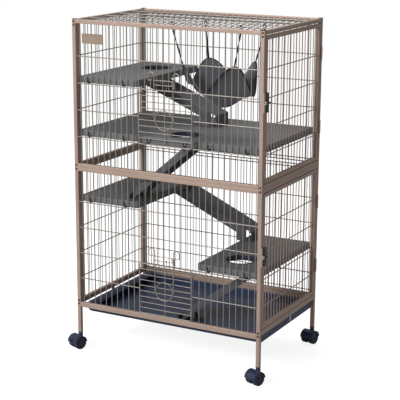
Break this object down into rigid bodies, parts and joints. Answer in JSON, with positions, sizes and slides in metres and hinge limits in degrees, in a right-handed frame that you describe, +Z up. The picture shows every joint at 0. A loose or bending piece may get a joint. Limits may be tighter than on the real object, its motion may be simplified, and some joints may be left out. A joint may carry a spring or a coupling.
{
  "type": "ferret cage",
  "caption": "Tall wire cage in a square tube frame on twin-wheel casters, with shelves, ramps, a hammock, hinged doors and a slide-out tray.",
  "frame": {"origin": "floor point under the middle of the frame", "axes": "+X to the right, along the width; +Y to the rear, away from the small doors; +Z up"},
  "size_m": [0.8457, 0.5993, 1.2901],
  "materials": {
    "frame_metal": "bronze metallic powder coat, satin",
    "wire_metal": "champagne coating on wire, satin",
    "bolt_steel": "dark zinc",
    "zinc": "bright zinc",
    "plate_metal": "satin, bare",
    "shelf_plastic": "charcoal grey, fine grain",
    "tray_plastic": "navy black, smooth",
    "caster_plastic": "navy black, moulded",
    "black_plastic": "black",
    "fleece": "charcoal fleece",
    "webbing": "black webbing"
  },
  "bodies": {
    "cage": {"lower_posts": "frame_metal", "upper_posts": "frame_metal", "front_rails": "frame_metal", "rear_rails": "frame_metal", "left_frame_lower": "frame_metal", "left_frame_upper": "frame_metal", "right_rails": "frame_metal", "joining_sleeves": "zinc", "caster_sockets": "black_plastic", "post_caps": "black_plastic", "frame_bolts": "bolt_steel", "front_wires_lower": "wire_metal", "front_wires_upper": "wire_metal", "left_wires_lower": "wire_metal", "left_wires_upper": "wire_metal", "rear_wires_lower": "wire_metal", "rear_wires_upper": "wire_metal", "top_wires": "wire_metal", "name_plate": "plate_metal", "side_hinge_leaves": "frame_metal", "side_hinge_pins": "zinc", "latch_strikes": "zinc", "tray_runners": "frame_metal", "tray_stop": "frame_metal", "tray_button_rivet": "zinc", "shelf_upper_left": "shelf_plastic", "deck_left": "shelf_plastic", "deck_middle": "shelf_plastic", "deck_right": "shelf_plastic", "shelf_lower_left": "shelf_plastic", "shelf_lower_right": "shelf_plastic", "ramp_upper": "shelf_plastic", "ramp_deck": "shelf_plastic", "ramp_long": "shelf_plastic", "ramp_lower": "shelf_plastic", "hammock": "fleece", "hammock_straps": "webbing", "hammock_clips": "black_plastic"},
    "side_door_lower": {"side_door_lower": "frame_metal", "latch_case_lower": "black_plastic"},
    "side_door_upper": {"side_door_upper": "frame_metal", "latch_case_upper": "black_plastic"},
    "side_bolt_lower": {"latch_bolt_lower": "zinc"},
    "side_bolt_upper": {"latch_bolt_upper": "zinc"},
    "small_door_lower": {"small_door_lower": "wire_metal"},
    "small_door_upper": {"small_door_upper": "wire_metal"},
    "drop_latch_lower": {"drop_latch_lower": "wire_metal"},
    "drop_latch_upper": {"drop_latch_upper": "wire_metal"},
    "tray": {"bottom_tray": "tray_plastic"},
    "tray_button": {"tray_button": "zinc"},
    "brake_lever": {"brake_lever": "black_plastic"},
    "fork_front_left": {"caster_fork_front_left": "caster_plastic"},
    "wheels_front_left": {"caster_wheels_front_left": "caster_plastic"},
    "fork_front_right": {"caster_fork_front_right": "caster_plastic"},
    "wheels_front_right": {"caster_wheels_front_right": "caster_plastic"},
    "fork_rear_left": {"caster_fork_rear_left": "caster_plastic"},
    "wheels_rear_left": {"caster_wheels_rear_left": "caster_plastic"},
    "fork_rear_right": {"caster_fork_rear_right": "caster_plastic"},
    "wheels_rear_right": {"caster_wheels_rear_right": "caster_plastic"}
  },
  "joints": [
    {"name": "side_door_lower_hinge", "type": "hinge", "parent": "cage", "child": "side_door_lower", "pos_m": [0.399, 0.238, 0.452], "axis": [0, 0, 1], "range_deg": [0, 170]},
    {"name": "side_door_upper_hinge", "type": "hinge", "parent": "cage", "child": "side_door_upper", "pos_m": [0.399, 0.238, 1.0175], "axis": [0, 0, 1], "range_deg": [0, 170]},
    {"name": "side_bolt_lower_slide", "type": "slide", "parent": "side_door_lower", "child": "side_bolt_lower", "axis": [0, -1, 0], "range_m": [0, 0.008]},
    {"name": "side_bolt_upper_slide", "type": "slide", "parent": "side_door_upper", "child": "side_bolt_upper", "axis": [0, -1, 0], "range_m": [0, 0.008]},
    {"name": "small_door_lower_hinge", "type": "hinge", "parent": "cage", "child": "small_door_lower", "pos_m": [0.1115, -0.25285, 0.2901], "axis": [0, 0, 1], "range_deg": [0, 110]},
    {"name": "small_door_upper_hinge", "type": "hinge", "parent": "cage", "child": "small_door_upper", "pos_m": [0.1115, -0.25285, 0.9472], "axis": [0, 0, 1], "range_deg": [0, 110]},
    {"name": "drop_latch_lower_slide", "type": "slide", "parent": "small_door_lower", "child": "drop_latch_lower", "axis": [0, 0, 1], "range_m": [-0.009, 0]},
    {"name": "drop_latch_upper_slide", "type": "slide", "parent": "small_door_upper", "child": "drop_latch_upper", "axis": [0, 0, 1], "range_m": [-0.009, 0]},
    {"name": "tray_slide", "type": "slide", "parent": "cage", "child": "tray", "axis": [1, 0, 0], "range_m": [0, 0.335]},
    {"name": "tray_button_turn", "type": "hinge", "parent": "cage", "child": "tray_button", "pos_m": [0.3966, 0.008, 0.194], "axis": [1, 0, 0], "range_deg": [0, 50]},
    {"name": "caster_front_left_swivel", "type": "hinge", "parent": "cage", "child": "fork_front_left", "pos_m": [-0.3875, -0.2475, 0.06], "axis": [0, 0, 1], "continuous": true},
    {"name": "caster_front_left_wheels", "type": "hinge", "parent": "fork_front_left", "child": "wheels_front_left", "pos_m": [-0.39323, -0.26244, 0.025], "axis": [0.9336, -0.3584, 0], "continuous": true},
    {"name": "caster_front_right_swivel", "type": "hinge", "parent": "cage", "child": "fork_front_right", "pos_m": [0.3875, -0.2475, 0.06], "axis": [0, 0, 1], "continuous": true},
    {"name": "caster_front_right_wheels", "type": "hinge", "parent": "fork_front_right", "child": "wheels_front_right", "pos_m": [0.38203, -0.26254, 0.025], "axis": [0.9397, -0.342, 0], "continuous": true},
    {"name": "caster_rear_left_swivel", "type": "hinge", "parent": "cage", "child": "fork_rear_left", "pos_m": [-0.3875, 0.2475, 0.06], "axis": [0, 0, 1], "continuous": true},
    {"name": "caster_rear_left_wheels", "type": "hinge", "parent": "fork_rear_left", "child": "wheels_rear_left", "pos_m": [-0.38336, 0.26295, 0.025], "axis": [-0.9659, 0.2588, 0], "continuous": true},
    {"name": "caster_rear_right_swivel", "type": "hinge", "parent": "cage", "child": "fork_rear_right", "pos_m": [0.3875, 0.2475, 0.06], "axis": [0, 0, 1], "continuous": true},
    {"name": "caster_rear_right_wheels", "type": "hinge", "parent": "fork_rear_right", "child": "wheels_rear_right", "pos_m": [0.38472, 0.23174, 0.025], "axis": [0.9848, -0.1736, 0], "continuous": true},
    {"name": "brake_lever_hinge", "type": "hinge", "parent": "fork_front_left", "child": "brake_lever", "pos_m": [-0.40381, -0.28998, 0.039], "axis": [0.9336, -0.3584, 0], "range_deg": [0, 20]}
  ]
}
